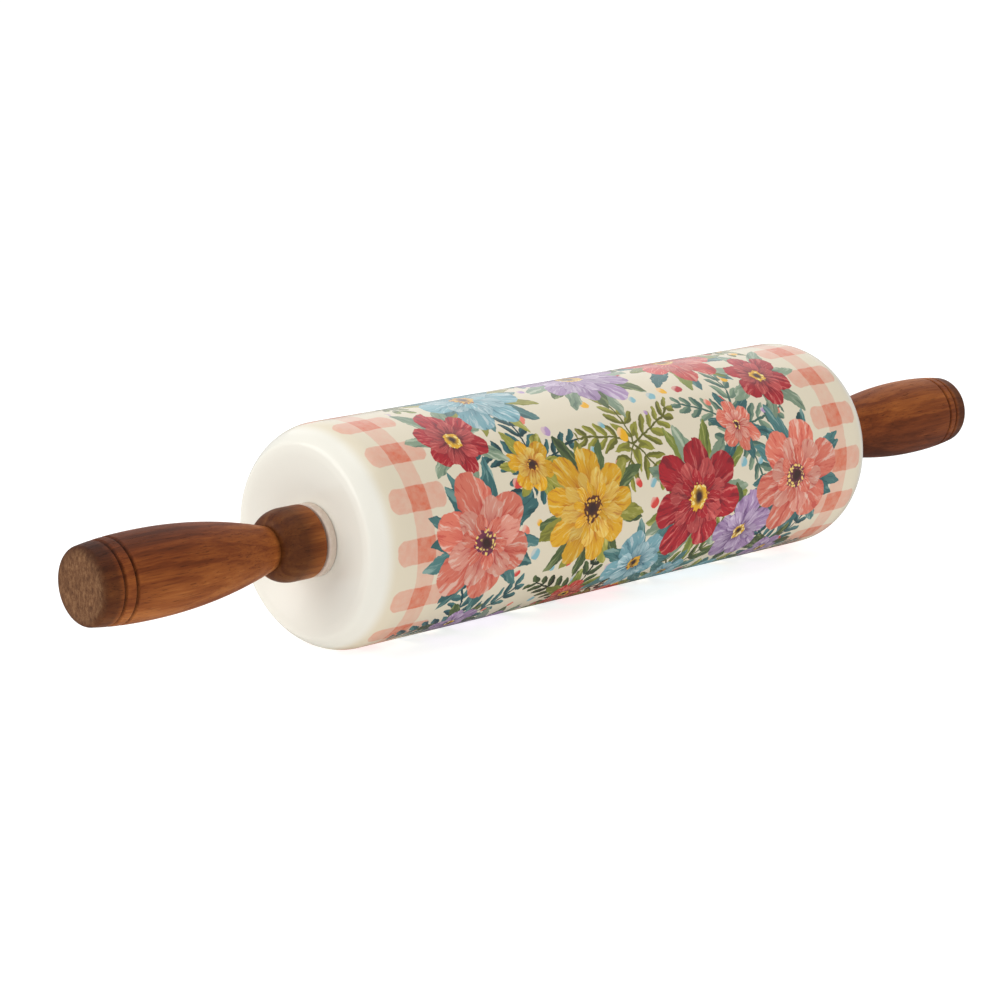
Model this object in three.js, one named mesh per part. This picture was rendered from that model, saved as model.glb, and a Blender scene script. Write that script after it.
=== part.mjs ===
// A rolling pin: a hollow glazed ceramic barrel spins on a steel rod between two turned wood handles.
// Millimetres. X runs along the pin, Z is up, and the barrel rests on Z = 0 at the middle of its length.
import * as THREE from "three";
import { mergeVertices } from "three/addons/utils/BufferGeometryUtils.js";

// Clearances
const runningGap = 0.3; // between pieces that turn past each other
const seatGap = 0.3; // between pieces that are pressed, screwed or bonded together

// Ceramic barrel
const barrelLength = 254;
const barrelRadius = 39.25;
const barrelWall = 6.5;
const shoulderRound = 17; // large round from the barrel's side towards its end
const rimRound = 2.5; // tighter round over the rim of the end
const rimTurn = THREE.MathUtils.degToRad(45); // where the large round passes into the tight one
const dishTurn = THREE.MathUtils.degToRad(13); // how far the tight round turns down into the dish
const dishDepth = 4.2; // from the rim in to the seat that the bush stands on
const seatLand = 1.2; // ring of the seat that shows outside the bush's flange

// Steel rod
const rodRadius = 5;
const threadRadius = 4;
const threadOvershoot = 2; // thread that comes out past the insert
const rodChamfer = 0.8;

// Moulded bush in each end of the barrel, and the soft seal round it
const bushWall = 2.2;
const bushReach = 7; // sleeve past the inside of the ceramic wall
const flangeLap = 3; // flange past the edge of the ceramic bore
const flangeThickness = 2.9;
const flangeRound = 0.8;
const sealThickness = 1.6;
const sealInset = 0.5; // from either face of the ceramic wall
const sealRibs = 3;
const sealRibDepth = 0.5;

// Thrust washer let into the handle's face
const washerThickness = 1.2;
const washerProud = 0.3;
const washerWidth = 3.5;

// Brass insert in the handle's bore
const insertWall = 2.2;
const insertLength = 10;
const insertHeadLength = 2;
const insertHeadRim = 0.9;
const insertInset = 0.6; // below the washer's recess
const boreSpare = 1.5; // depth of the handle's bore past the rod

// Turned handle, from the collar beside the barrel to the butt
const collarRadius = 12.7;
const collarLength = 7.9; // straight part of the drum
const collarEdgeRound = 1.2;
const collarRound = 8.4; // length over which the drum rounds down to the neck
const neckRadius = 7.6;
const neckSlope = 0.3; // rise of the grip as it leaves the neck
const gripLength = 76.4; // neck to butt
const gripPeak = 50.7; // neck to the widest place
const gripRadius = 14.9;
const buttRadius = 12.9;
const buttSlope = -0.19;
const buttRound = 2.6;
const grooveFromButt = [12.3, 7.9];
const grooveWidth = 1.8;
const grooveDepth = 1;

// Facets
const barrelSides = 56;
const handleSides = 32;
const fittingSides = 24;
const shoulderSteps = 4;
const rimSteps = 4;
const gripSteps = 10;
const roundSteps = 4;
const collarRoundSteps = 5;

// Sizes and places that follow from the ones above, for the end at +X
const bushBore = rodRadius + runningGap;
const bushSleeve = bushBore + bushWall;
const sealBore = bushSleeve + seatGap;
const sealRadius = sealBore + sealThickness;
const barrelBore = sealRadius + seatGap;
const flangeRadius = barrelBore + flangeLap;
const seatRadius = flangeRadius + seatLand;
const washerBore = rodRadius + seatGap;
const washerRadius = washerBore + washerWidth;
const insertBore = threadRadius + seatGap;
const insertRadius = insertBore + insertWall;
const insertHeadRadius = insertRadius + insertHeadRim;

const endPlane = barrelLength / 2;
const rimCentre = endPlane - rimRound;
const shoulderCentre = rimCentre - (shoulderRound - rimRound) * Math.cos(rimTurn);
const shoulderLevel = barrelRadius - shoulderRound; // radius at which the large round has its centre
const rimLevel = shoulderLevel + (shoulderRound - rimRound) * Math.sin(rimTurn);
const seatFace = endPlane - dishDepth;
const innerFace = seatFace - barrelWall;
const flangeBack = seatFace + seatGap;
const flangeFace = flangeBack + flangeThickness;
const washerFace = flangeFace + runningGap;
const collarFace = washerFace + washerProud;
const recessFloor = washerFace + washerThickness + seatGap;
const insertFace = recessFloor + insertInset;
const insertHeadEnd = insertFace + insertHeadLength;
const insertEnd = insertFace + insertLength;
const rodShoulder = insertFace - seatGap;
const rodEnd = insertEnd + threadOvershoot;
const boreEnd = rodEnd + boreSpare;
const neck = collarFace + collarLength + collarRound;
const butt = neck + gripLength;
const axisHeight = barrelRadius * Math.cos(Math.PI / barrelSides);

// The list 0, 1/steps ... 1
const fractions = (steps) => Array.from({ length: steps + 1 }, (_, i) => i / steps);

// Arc about (x, level), with its angles counted from the axis
const arc = (x, level, radius, from, to, steps) =>
  fractions(steps).map((t) => {
    const angle = from + (to - from) * t;
    return [x + radius * Math.cos(angle), level + radius * Math.sin(angle)];
  });

// Quarter of an ellipse from (x, radius + rise) round to (x + run, radius)
const quarterRound = (x, radius, run, rise, steps) =>
  fractions(steps).map((t) => {
    const angle = (t * Math.PI) / 2;
    return [x + run * Math.sin(angle), radius + rise * Math.cos(angle)];
  });

// Smooth curve through two values with the given slopes, over a span
const hermite = (t, span, from, fromSlope, to, toSlope) => {
  const u = t / span;
  const fall = 2 * u ** 3 - 3 * u ** 2 + 1;
  const leave = u ** 3 - 2 * u ** 2 + u;
  const arrive = u ** 3 - u ** 2;
  return fall * from + (1 - fall) * to + span * (leave * fromSlope + arrive * toSlope);
};

// The outlines below are [x, radius] pairs that run up the outside of a solid from low x to high x.
const mirrored = (outline) => outline.map(([x, radius]) => [-x, radius]).reverse();

const closed = (outline) => [...outline, outline[0]];

// The barrel's outer skin from its side, round the shoulder and rim and down the straight dish, to the bore
const barrelSkin = () => {
  const side = Math.PI / 2;
  const shoulder = arc(shoulderCentre, shoulderLevel, shoulderRound, side, rimTurn, shoulderSteps);
  const rim = arc(rimCentre, rimLevel, rimRound, rimTurn, -dishTurn, rimSteps);
  return [...shoulder, ...rim.slice(1), [seatFace, seatRadius], [seatFace, barrelBore]];
};

// The hollow's skin, one wall inside the shoulder and the dish
const hollowSkin = () => [
  ...arc(shoulderCentre, shoulderLevel, shoulderRound - barrelWall, Math.PI / 2, rimTurn, shoulderSteps),
  [innerFace, seatRadius],
  [innerFace, barrelBore],
];

const barrelOutline = () => {
  const outer = barrelSkin();
  const inner = hollowSkin();
  return closed([...mirrored(outer), ...outer, ...[...mirrored(inner), ...inner].reverse()]);
};

const rodOutline = () => {
  const end = [
    [rodShoulder, rodRadius],
    [rodShoulder, threadRadius],
    [rodEnd - rodChamfer, threadRadius],
    [rodEnd, threadRadius - rodChamfer],
    [rodEnd, 0],
  ];
  return [...mirrored(end), ...end];
};

const bushOutline = () =>
  closed([
    [innerFace - bushReach, bushBore],
    [innerFace - bushReach, bushSleeve],
    [flangeBack, bushSleeve],
    [flangeBack, flangeRadius],
    ...quarterRound(flangeFace - flangeRound, flangeRadius - flangeRound, flangeRound, flangeRound, roundSteps),
    [flangeFace, bushBore],
  ]);

const sealOutline = () => {
  const start = innerFace + sealInset;
  const pitch = (barrelWall - 2 * sealInset) / (2 * sealRibs - 1);
  const ribs = Array.from({ length: sealRibs }, (_, i) => {
    const low = start + 2 * i * pitch;
    const valley = sealRadius - sealRibDepth;
    const rib = [[low, sealRadius], [low + pitch, sealRadius]];
    const dip = [[low + pitch, valley], [low + 2 * pitch, valley]];
    return i < sealRibs - 1 ? [...rib, ...dip] : rib;
  }).flat();
  return closed([[start, sealBore], ...ribs, [start + (2 * sealRibs - 1) * pitch, sealBore]]);
};

const washerOutline = () =>
  closed([
    [washerFace, washerBore],
    [washerFace, washerRadius],
    [washerFace + washerThickness, washerRadius],
    [washerFace + washerThickness, washerBore],
  ]);

const insertOutline = () =>
  closed([
    [insertFace, insertBore],
    [insertFace, insertHeadRadius],
    [insertHeadEnd, insertHeadRadius],
    [insertHeadEnd, insertRadius],
    [insertEnd, insertRadius],
    [insertEnd, insertBore],
  ]);

// Radius of the grip at a distance from the neck
const gripOutlineAt = (t) =>
  t < gripPeak
    ? hermite(t, gripPeak, neckRadius, neckSlope, gripRadius, 0)
    : hermite(t - gripPeak, gripLength - gripPeak, gripRadius, 0, buttRadius, buttSlope);

const gripOutline = () => {
  const swell = fractions(gripSteps).map((t) => t * gripPeak);
  const grooves = grooveFromButt.flatMap((fromButt) => {
    const middle = gripLength - fromButt;
    return [
      [middle - grooveWidth / 2, 0],
      [middle, grooveDepth],
      [middle + grooveWidth / 2, 0],
    ];
  });
  const rimStart = gripLength - buttRound;
  const rim = quarterRound(
    neck + rimStart,
    gripOutlineAt(rimStart) - buttRound,
    buttRound,
    buttRound,
    roundSteps,
  );
  return [
    ...[...swell.map((t) => [t, 0]), ...grooves].map(([t, depth]) => [neck + t, gripOutlineAt(t) - depth]),
    ...rim,
    [butt, 0],
  ];
};

const handleOutline = () => {
  const recessRadius = washerRadius + seatGap;
  const headRadius = insertHeadRadius + seatGap;
  const boreRadius = insertRadius + seatGap;
  const tipRadius = threadRadius + seatGap;
  const headFloor = insertHeadEnd + seatGap;
  const boreFloor = insertEnd + seatGap;
  const bore = [
    [boreEnd, 0],
    [boreEnd, tipRadius],
    [boreFloor, tipRadius],
    [boreFloor, boreRadius],
    [headFloor, boreRadius],
    [headFloor, headRadius],
    [recessFloor, headRadius],
    [recessFloor, recessRadius],
    [collarFace, recessRadius],
  ];
  const edge = quarterRound(0, collarRadius - collarEdgeRound, collarEdgeRound, collarEdgeRound, roundSteps)
    .map(([x, radius]) => [collarFace + collarEdgeRound - x, radius])
    .reverse();
  const drum = quarterRound(
    collarFace + collarLength,
    neckRadius,
    collarRound,
    collarRadius - neckRadius,
    collarRoundSteps,
  );
  return [...bore, ...edge, ...drum, ...gripOutline().slice(1)];
};

const glaze = () => new THREE.MeshStandardMaterial({ color: 0xf0ece2, roughness: 0.15 });
const wood = () => new THREE.MeshStandardMaterial({ color: 0x784123, roughness: 0.55 });
const nylon = () => new THREE.MeshStandardMaterial({ color: 0xeee2d8, roughness: 0.5 });
const silicone = () => new THREE.MeshStandardMaterial({ color: 0xd8d2c8, roughness: 0.8 });
const steel = () => new THREE.MeshStandardMaterial({ color: 0xb9bcc0, roughness: 0.3, metalness: 1 });
const brass = () => new THREE.MeshStandardMaterial({ color: 0xc8a355, roughness: 0.35, metalness: 1 });

const pin = new THREE.Group();
pin.position.z = axisHeight;

// Turns an outline round the pin's axis, with a flat of the barrel facing straight down
const addTurned = (name, outline, sides, material) => {
  const points = outline.map(([x, radius]) => new THREE.Vector2(radius, x));
  const lathe = new THREE.LatheGeometry(points, sides, Math.PI / sides);
  lathe.deleteAttribute("normal");
  lathe.deleteAttribute("uv");
  lathe.rotateZ(-Math.PI / 2);
  const mesh = new THREE.Mesh(mergeVertices(lathe), material);
  mesh.name = name;
  pin.add(mesh);
};

addTurned("ceramic_barrel", barrelOutline(), barrelSides, glaze());
addTurned("axle_rod", rodOutline(), fittingSides, steel());

for (const [side, turn] of [["left", mirrored], ["right", (outline) => outline]]) {
  addTurned(`${side}_handle`, turn(handleOutline()), handleSides, wood());
  addTurned(`${side}_end_bush`, turn(bushOutline()), fittingSides, nylon());
  addTurned(`${side}_bush_seal`, turn(sealOutline()), fittingSides, silicone());
  addTurned(`${side}_thrust_washer`, turn(washerOutline()), fittingSides, steel());
  addTurned(`${side}_threaded_insert`, turn(insertOutline()), fittingSides, brass());
}

export default pin;
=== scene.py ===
"""Dresses a rolling pin: a glazed ceramic barrel with a check border and a flower print, on wood handles."""

import math

import bpy
import numpy as np
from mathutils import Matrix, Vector


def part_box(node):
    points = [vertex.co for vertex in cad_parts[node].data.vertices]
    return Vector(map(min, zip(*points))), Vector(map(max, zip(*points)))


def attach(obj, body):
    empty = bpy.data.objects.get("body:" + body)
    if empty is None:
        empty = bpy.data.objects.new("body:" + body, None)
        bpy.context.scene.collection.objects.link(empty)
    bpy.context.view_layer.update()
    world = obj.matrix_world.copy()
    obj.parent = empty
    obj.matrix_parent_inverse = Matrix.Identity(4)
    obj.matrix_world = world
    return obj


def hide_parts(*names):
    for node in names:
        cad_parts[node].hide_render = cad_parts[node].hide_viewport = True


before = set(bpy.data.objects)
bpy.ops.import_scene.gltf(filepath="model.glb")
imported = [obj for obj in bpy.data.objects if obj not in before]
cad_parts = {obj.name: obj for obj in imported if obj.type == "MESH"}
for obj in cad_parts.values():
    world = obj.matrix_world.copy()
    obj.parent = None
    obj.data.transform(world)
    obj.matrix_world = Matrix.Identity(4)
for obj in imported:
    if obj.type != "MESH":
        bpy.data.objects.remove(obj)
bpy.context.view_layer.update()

MM = 0.001
ROOT = "axle_and_handles"
ROLLER = "roller"
SHARP_ANGLE = math.radians(35)
ON_AXIS = 0.0001 * MM

# Places that the frame gives, for the end at high x
barrel_low, barrel_high = (Vector(corner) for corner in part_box("ceramic_barrel"))
bush_low, bush_high = (Vector(corner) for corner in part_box("right_end_bush"))
handle_low, handle_high = (Vector(corner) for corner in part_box("right_handle"))
washer_low, washer_high = (Vector(corner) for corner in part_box("right_thrust_washer"))
insert_low, insert_high = (Vector(corner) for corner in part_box("right_threaded_insert"))
seal_low, seal_high = (Vector(corner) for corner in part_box("right_bush_seal"))
rod_low, rod_high = (Vector(corner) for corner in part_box("axle_rod"))
AXIS_HEIGHT = (barrel_low.z + barrel_high.z) / 2
BARREL_RADIUS = (barrel_high.z - barrel_low.z) / 2
END_PLANE = barrel_high.x
COLLAR_FACE = handle_low.x
BUTT = handle_high.x

# Ceramic barrel
SHOULDER_ROUND = 17 * MM
RIM_ROUND = 2.5 * MM
LIP_ROUND = 14 * MM
RIM_TURN = math.radians(45)
DISH_TURN = math.radians(13)
DISH_DEPTH = 4.2 * MM
BARREL_WALL = 6.5 * MM
BARREL_BORE = 9.7 * MM
BORE_EDGE = 0.6 * MM
SEAT_RADIUS = 13.9 * MM
BARREL_STEP = 4 * MM
BARREL_SIDES = 192

# Bush, seal, washer, insert and rod
ROD_RADIUS = 5 * MM
THREAD_RADIUS = 4 * MM
THREAD_PITCH = 1.25 * MM
THREAD_DEPTH = 0.6 * MM
ROD_CHAMFER = 0.8 * MM
ROD_SIDES = 48
SEAT_GAP = 0.3 * MM
BUSH_BORE = 5.3 * MM
BUSH_SLEEVE = 7.5 * MM
FLANGE_RADIUS = 12.7 * MM
FLANGE_THICKNESS = 2.9 * MM
FLANGE_ROUND = 0.8 * MM
BUSH_SIDES = 96
SEAL_BORE = 7.8 * MM
SEAL_RADIUS = 9.4 * MM
SEAL_RIBS = 3
SEAL_RIB_DEPTH = 0.5 * MM
SEAL_STEP = 0.12 * MM
SEAL_SIDES = 64
WASHER_BORE = 5.3 * MM
WASHER_RADIUS = 8.8 * MM
WASHER_EDGE = 0.2 * MM
WASHER_SIDES = 64
INSERT_BORE = 4.3 * MM
INSERT_RADIUS = 6.5 * MM
INSERT_HEAD_RADIUS = 7.4 * MM
INSERT_HEAD = 2 * MM
INSERT_PITCH = 2.4 * MM
INSERT_THREAD = 0.7 * MM
INSERT_SIDES = 48

# Turned handle
COLLAR_RADIUS = 12.7 * MM
COLLAR_LENGTH = 7.9 * MM
COLLAR_EDGE = 1.2 * MM
COLLAR_ROUND = 8.4 * MM
NECK_RADIUS = 7.6 * MM
NECK_SLOPE = 0.3
GRIP_PEAK = 50.7 * MM
GRIP_RADIUS = 14.9 * MM
BUTT_RADIUS = 12.9 * MM
BUTT_SLOPE = -0.19
BUTT_ROUND = 2.6 * MM
GROOVES_FROM_BUTT = (12.3 * MM, 7.9 * MM)
GROOVE_WIDTH = 1.8 * MM
GROOVE_DEPTH = 1 * MM
BORE_RADIUS = 6.8 * MM
TIP_RADIUS = 4.3 * MM
BORE_SPARE = 1.5 * MM
RECESS_RADIUS = 9.1 * MM
RECESS_DEPTH = 1.2 * MM
HEAD_RADIUS = 7.7 * MM
HEAD_DEPTH = 4.1 * MM
HANDLE_SIDES = 128
NECK = COLLAR_FACE + COLLAR_LENGTH + COLLAR_ROUND
GRIP_LENGTH = BUTT - NECK

# Darkening of the wood: painted shade on the collar and in the neck's crease, darker grooves, and at the
# butt's edge a darker stain together with painted shade, but not within the bore
COLLAR_SHADE = 0.25
COLLAR_SHADE_REACH = 1.5
COLLAR_SHADE_FALL = 1.8
BUTT_SHADE_AND_STAIN = 0.9
BUTT_SHADE_AND_STAIN_RISE = 3
NECK_CREASE = 2 * MM
SKIN_RADIUS = NECK_RADIUS - 0.1 * MM

# Print, in millimetres on the barrel's unrolled surface
ROUND_MM = 2 * math.pi * BARREL_RADIUS / MM
CHECK_COUNT = 14
CHECK_HIGH = ROUND_MM / CHECK_COUNT / 2
CHECK_WIDE = 8.15
CHECK_START = 118.7
CHECK_COLUMNS = 3
CHECK_TURN = 4.0
CHECK_END_ROUND = 2.2
PRINT_EDGE = 4.5
FLOWER_COLUMNS = 4
COLUMN_STEP = ROUND_MM / FLOWER_COLUMNS
ROW_STEP = 54.0
PRINT_LIMIT = 84.0
CELL_JITTER = 5.0
BERRY_COLUMNS = 30
BERRY_STEP = ROUND_MM / BERRY_COLUMNS
PAINT_EDGE = (-0.15, 0.2)

# Wood grain, with its places in millimetres from the axis
RING_WIDTH = 5.0
PITH_Y = -34.0
PITH_Z = -12.0
RING_WANDER = 16.0
# Painted light on the handles' tone: a paler side and a paler end on each grip
PAINTED_LIGHT_LEVEL = 6.0
PAINTED_LIGHT_SIDE = 0.00005
PAINTED_LIGHT_ALONG = 0.0018
GRIP_MIDDLE = (NECK + BUTT) / 2 / MM


def srgb(red, green, blue):
    """Linear colour of an 8-bit screen colour."""
    channels = [value / 255 for value in (red, green, blue)]
    linear = [c / 12.92 if c <= 0.04045 else ((c + 0.055) / 1.055) ** 2.4 for c in channels]
    return (*linear, 1.0)


CREAM = srgb(243, 240, 228)
PRINT_GROUND = srgb(232, 221, 196)
CHECK_LIGHT = srgb(231, 174, 150)
CHECK_MIDDLE = srgb(232, 188, 164)
CHECK_DARK = srgb(222, 114, 82)
EYE_SHADE = srgb(64, 36, 32)
BERRY_SHINE = srgb(250, 226, 206)
WOOD_PORE = srgb(38, 20, 12)
# Colour of the painted shade and the darker stain in the wood's hollows
WOOD_SHADE_AND_STAIN = srgb(34, 17, 9)
WOOD_TONES = [(0.32, (80, 36, 14)), (0.5, (120, 58, 23)), (0.66, (154, 85, 36)), (0.84, (190, 118, 58))]
BUTT_TONES = [(0.3, (82, 52, 32)), (0.5, (114, 77, 50)), (0.7, (144, 106, 72))]

BLOSSOMS = [
    {"tip": (243, 182, 28), "throat": (196, 100, 16), "stroke": (254, 232, 140), "core": (96, 52, 30),
     "dots": (240, 180, 60), "petals": 9, "few": 6},
    {"tip": (184, 152, 194), "throat": (104, 64, 122), "stroke": (234, 218, 236), "core": (222, 168, 46),
     "dots": (250, 232, 170), "petals": 9, "few": 5},
    {"tip": (188, 26, 40), "throat": (98, 10, 30), "stroke": (240, 130, 120), "core": (236, 178, 40),
     "dots": (250, 226, 140), "petals": 7, "few": 6},
    {"tip": (220, 70, 60), "throat": (150, 18, 32), "stroke": (250, 176, 156), "core": (226, 160, 34),
     "dots": (252, 224, 120), "petals": 8, "few": 5},
    {"tip": (236, 128, 104), "throat": (204, 58, 54), "stroke": (253, 216, 196), "core": (120, 50, 76),
     "dots": (250, 214, 120), "petals": 6, "few": 6},
    {"tip": (136, 188, 198), "throat": (52, 108, 128), "stroke": (224, 238, 238), "core": (228, 172, 50),
     "dots": (120, 60, 40), "petals": 7, "few": 5},
]
LEAVES = [
    {"tip": (84, 134, 132), "throat": (32, 76, 84), "stroke": (158, 190, 180)},
    {"tip": (162, 160, 62), "throat": (98, 98, 34), "stroke": (216, 208, 120)},
    {"tip": (88, 108, 62), "throat": (42, 56, 38), "stroke": (160, 172, 112)},
    {"tip": (142, 164, 136), "throat": (70, 104, 92), "stroke": (206, 216, 190)},
    {"tip": (134, 146, 60), "throat": (66, 82, 40), "stroke": (200, 200, 112)},
    {"tip": (62, 112, 112), "throat": (24, 62, 66), "stroke": (130, 172, 164)},
]


# Outlines are lists of (x, radius) that run up the outside of a solid from low x to high x

def arc(x, level, radius, start, end, steps):
    """Points of an arc about (x, level), with its angles counted from the axis."""
    angles = np.linspace(start, end, steps + 1)
    return [(x + radius * math.cos(a), level + radius * math.sin(a)) for a in angles]


def quarter_round(x, level, run, rise, steps):
    """Quarter of an ellipse from (x, level + rise) round to (x + run, level)."""
    angles = np.linspace(0, math.pi / 2, steps + 1)
    return [(x + run * math.sin(a), level + rise * math.cos(a)) for a in angles]


def hermite(t, span, start, start_slope, end, end_slope):
    """Smooth curve through two values with the given slopes."""
    u = t / span
    fall = 2 * u**3 - 3 * u**2 + 1
    leave = u**3 - 2 * u**2 + u
    arrive = u**3 - u**2
    return fall * start + (1 - fall) * end + span * (leave * start_slope + arrive * end_slope)


def mirrored(outline):
    """The same outline for the end at low x."""
    return [(-x, radius) for x, radius in reversed(outline)]


def spaced(outline, longest):
    """The outline with extra points, so that no step is longer than the given length."""
    points = [outline[0]]
    for start, end in zip(outline, outline[1:]):
        steps = max(1, math.ceil(math.dist(start, end) / longest))
        for i in range(1, steps + 1):
            t = i / steps
            points.append((start[0] + (end[0] - start[0]) * t, start[1] + (end[1] - start[1]) * t))
    return points


def barrel_outline():
    rim_centre = END_PLANE - RIM_ROUND
    shoulder_level = BARREL_RADIUS - SHOULDER_ROUND
    shoulder_centre = rim_centre - (SHOULDER_ROUND - RIM_ROUND) * math.cos(RIM_TURN)
    rim_level = shoulder_level + (SHOULDER_ROUND - RIM_ROUND) * math.sin(RIM_TURN)
    seat = END_PLANE - DISH_DEPTH
    inner_face = seat - BARREL_WALL
    shoulder = arc(shoulder_centre, shoulder_level, SHOULDER_ROUND, math.pi / 2, RIM_TURN, 20)
    rim = arc(rim_centre, rim_level, RIM_ROUND, RIM_TURN, 0, 12)
    lip = arc(END_PLANE - LIP_ROUND, rim_level, LIP_ROUND, 0, -DISH_TURN, 10)
    dish_foot = [(seat, SEAT_RADIUS)]
    bore = [(seat, BARREL_BORE + BORE_EDGE), (seat - BORE_EDGE, BARREL_BORE)]
    outer = shoulder + rim[1:] + lip[1:] + dish_foot + bore
    hollow_round = SHOULDER_ROUND - BARREL_WALL
    hollow = arc(shoulder_centre, shoulder_level, hollow_round, math.pi / 2, RIM_TURN, 10)
    inner = hollow + [(inner_face, SEAT_RADIUS), (inner_face, BARREL_BORE)]
    whole_outer = spaced(mirrored(outer) + outer, BARREL_STEP)
    whole_inner = mirrored(inner) + inner
    return whole_outer + whole_inner[::-1]


def grip_radius(t):
    """Radius of the grip at a distance from the neck, without its grooves."""
    if t < GRIP_PEAK:
        return hermite(t, GRIP_PEAK, NECK_RADIUS, NECK_SLOPE, GRIP_RADIUS, 0)
    return hermite(t - GRIP_PEAK, GRIP_LENGTH - GRIP_PEAK, GRIP_RADIUS, 0, BUTT_RADIUS, BUTT_SLOPE)


def groove_depth(t):
    """Depth of the two turned grooves at a distance from the neck."""
    depth = 0
    for from_butt in GROOVES_FROM_BUTT:
        away = abs(t - (GRIP_LENGTH - from_butt)) / (GROOVE_WIDTH / 2)
        if away < 1:
            depth = max(depth, GROOVE_DEPTH * (0.5 + 0.5 * math.cos(math.pi * away)))
    return depth


def handle_outline():
    bore_end = rod_high.x + BORE_SPARE
    bore_floor = insert_high.x + SEAT_GAP
    bore = [
        (bore_end, 0),
        (bore_end, TIP_RADIUS),
        (bore_floor, TIP_RADIUS),
        (bore_floor, BORE_RADIUS),
        (COLLAR_FACE + HEAD_DEPTH, BORE_RADIUS),
        (COLLAR_FACE + HEAD_DEPTH, HEAD_RADIUS),
        (COLLAR_FACE + RECESS_DEPTH, HEAD_RADIUS),
        (COLLAR_FACE + RECESS_DEPTH, RECESS_RADIUS),
        (COLLAR_FACE, RECESS_RADIUS),
    ]
    edge_round = quarter_round(0, COLLAR_RADIUS - COLLAR_EDGE, COLLAR_EDGE, COLLAR_EDGE, 8)
    edge = [(COLLAR_FACE + COLLAR_EDGE - x, radius) for x, radius in reversed(edge_round)]
    drum_rise = COLLAR_RADIUS - NECK_RADIUS
    drum = quarter_round(COLLAR_FACE + COLLAR_LENGTH, NECK_RADIUS, COLLAR_ROUND, drum_rise, 20)
    rim_start = GRIP_LENGTH - BUTT_ROUND
    grooves_start = GRIP_LENGTH - GROOVES_FROM_BUTT[0] - GROOVE_WIDTH
    swell = list(np.linspace(0, grooves_start, 48))[1:-1]
    stations = swell + list(np.linspace(grooves_start, rim_start, 60))
    grip = [(NECK + t, grip_radius(t) - groove_depth(t)) for t in stations]
    rim = quarter_round(NECK + rim_start, grip_radius(rim_start) - BUTT_ROUND, BUTT_ROUND, BUTT_ROUND, 10)
    flat = [(BUTT, radius) for radius in np.linspace(rim[-1][1], 0, 6)]
    return bore + edge + drum + grip + rim[1:] + flat[1:]


def bush_outline():
    back = bush_high.x - FLANGE_THICKNESS
    rim_start = bush_high.x - FLANGE_ROUND
    rim = quarter_round(rim_start, FLANGE_RADIUS - FLANGE_ROUND, FLANGE_ROUND, FLANGE_ROUND, 6)
    sleeve = [(bush_low.x, BUSH_BORE), (bush_low.x, BUSH_SLEEVE), (back, BUSH_SLEEVE), (back, FLANGE_RADIUS)]
    return sleeve + rim + [(bush_high.x, BUSH_BORE)]


def seal_outline():
    outside = spaced([(seal_low.x, SEAL_RADIUS), (seal_high.x, SEAL_RADIUS)], SEAL_STEP)
    return [(seal_low.x, SEAL_BORE)] + outside + [(seal_high.x, SEAL_BORE)]


def washer_outline():
    low, high = washer_low.x, washer_high.x
    return [
        (low, WASHER_BORE),
        (low, WASHER_RADIUS - WASHER_EDGE),
        (low + WASHER_EDGE, WASHER_RADIUS),
        (high - WASHER_EDGE, WASHER_RADIUS),
        (high, WASHER_RADIUS - WASHER_EDGE),
        (high, WASHER_BORE),
    ]


def insert_outline():
    low, high = insert_low.x, insert_high.x
    head = [(low, INSERT_BORE), (low, INSERT_HEAD_RADIUS), (low + INSERT_HEAD, INSERT_HEAD_RADIUS)]
    body = spaced([(low + INSERT_HEAD, INSERT_RADIUS), (high, INSERT_RADIUS)], INSERT_PITCH / 8)
    return head + body + [(high, INSERT_BORE)]


def rod_outline():
    shoulder = insert_low.x - SEAT_GAP
    chamfer = rod_high.x - ROD_CHAMFER
    thread = spaced([(shoulder, THREAD_RADIUS), (chamfer, THREAD_RADIUS)], THREAD_PITCH / 6)
    tip = [(rod_high.x, THREAD_RADIUS - ROD_CHAMFER), (rod_high.x, 0)]
    end = [(0, ROD_RADIUS), (shoulder, ROD_RADIUS)] + thread + tip
    return mirrored(end) + end[1:]


def turned_piece(name, outline, sides, closed=False):
    """Turns an outline round the axis. Its UV map counts millimetres round the barrel and along the pin."""
    rings = len(outline)
    angles = np.linspace(0, 2 * math.pi, sides, endpoint=False)
    on_axis = [radius < ON_AXIS for _, radius in outline]
    vertices = []
    first = []
    for (x, radius), pole in zip(outline, on_axis):
        first.append(len(vertices))
        for angle in angles[:1] if pole else angles:
            vertices.append((x, -radius * math.sin(angle), AXIS_HEIGHT + radius * math.cos(angle)))
    faces = []
    marks = []
    for ring in range(rings if closed else rings - 1):
        after = (ring + 1) % rings
        for side in range(sides):
            low = [(ring, side)] if on_axis[ring] else [(ring, side), (ring, side + 1)]
            high = [(after, side)] if on_axis[after] else [(after, side + 1), (after, side)]
            corners = low + high
            faces.append([first[r] + (0 if on_axis[r] else s % sides) for r, s in corners])
            marks.extend(corners)
    mesh = bpy.data.meshes.new(name)
    mesh.from_pydata(vertices, [], faces)
    layer = mesh.uv_layers.new(name="surface_mm")
    for loop, (ring, side) in enumerate(marks):
        layer.data[loop].uv = (side / sides * ROUND_MM, outline[ring][0] / MM)
    mesh.shade_smooth()
    mesh.set_sharp_from_angle(angle=SHARP_ANGLE)
    piece = bpy.data.objects.new(name, mesh)
    bpy.context.scene.collection.objects.link(piece)
    return piece


def add_attribute(piece, name, value_at):
    """A number on each vertex, worked out from its place along the pin and its radius."""
    layer = piece.data.attributes.new(name, "FLOAT", "POINT")
    for vertex, item in zip(piece.data.vertices, layer.data):
        x, y, z = vertex.co
        item.value = value_at(abs(x), math.hypot(y, z - AXIS_HEIGHT))


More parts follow.
